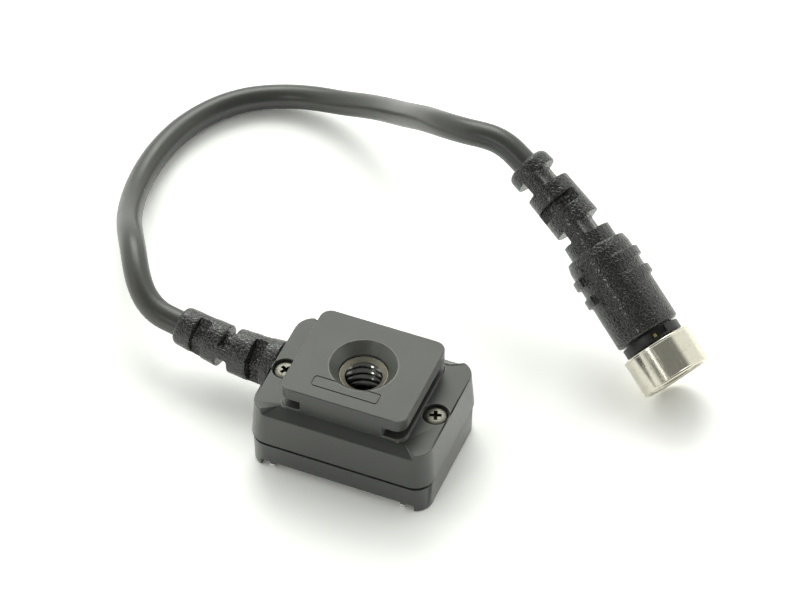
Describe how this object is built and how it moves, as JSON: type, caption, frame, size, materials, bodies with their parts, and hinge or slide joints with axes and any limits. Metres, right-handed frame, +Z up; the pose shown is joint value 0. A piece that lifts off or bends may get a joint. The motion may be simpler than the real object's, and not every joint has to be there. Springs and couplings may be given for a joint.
{
  "type": "shoe adapter with lead",
  "caption": "Black plastic shoe adapter with an accessory foot and tripod socket on top, a female shoe below, and a short lead to a round plug with a turning metal ring.",
  "frame": {"origin": "centre of the case's outline, at its underside", "axes": "+Z up, from the female shoe underneath to the accessory foot on top; the lead leaves the case towards -X; the closed end of the female shoe faces -Y"},
  "size_m": [0.0939, 0.0713, 0.0252],
  "materials": {
    "case_black": "satin, fine matt texture on the side walls",
    "black_rubber": "leather-grain moulding, semi-matt",
    "lead_jacket": "smooth, semi-gloss",
    "inner_black": "plain moulding",
    "nickel": "bright nickel plate",
    "bright_steel": "bright",
    "brass": "bright",
    "board": "lacquered"
  },
  "bodies": {
    "adapter": {"upper_shell": "case_black", "lower_shell": "case_black", "case_screw_left": "bright_steel", "case_screw_right": "bright_steel", "tripod_bush": "bright_steel", "hot_shoe_rail": "bright_steel", "contact_block": "inner_black", "centre_contact": "brass", "signal_contact_1": "brass", "signal_contact_2": "brass", "signal_contact_3": "brass", "shoe_spring_left": "bright_steel", "shoe_spring_right": "bright_steel", "shoe_screw_front_left": "bright_steel", "shoe_screw_front_right": "bright_steel", "shoe_screw_back_left": "bright_steel", "shoe_screw_back_right": "bright_steel", "contact_board": "board", "box_strain_relief": "black_rubber", "lead": "lead_jacket", "plug_boot": "black_rubber", "plug_collar": "inner_black", "retaining_clip": "brass", "plug_nose_shell": "nickel", "pin_insulator": "inner_black", "contact_pin_1": "brass", "contact_pin_2": "brass", "contact_pin_3": "brass", "contact_pin_4": "brass"},
    "ring": {"coupling_ring": "nickel"}
  },
  "joints": [
    {"name": "coupling_ring_turn", "type": "hinge", "parent": "adapter", "child": "ring", "pos_m": [0.038, 0.02375, 0.00465], "axis": [0.75, -0.433, -0.5], "continuous": true}
  ]
}
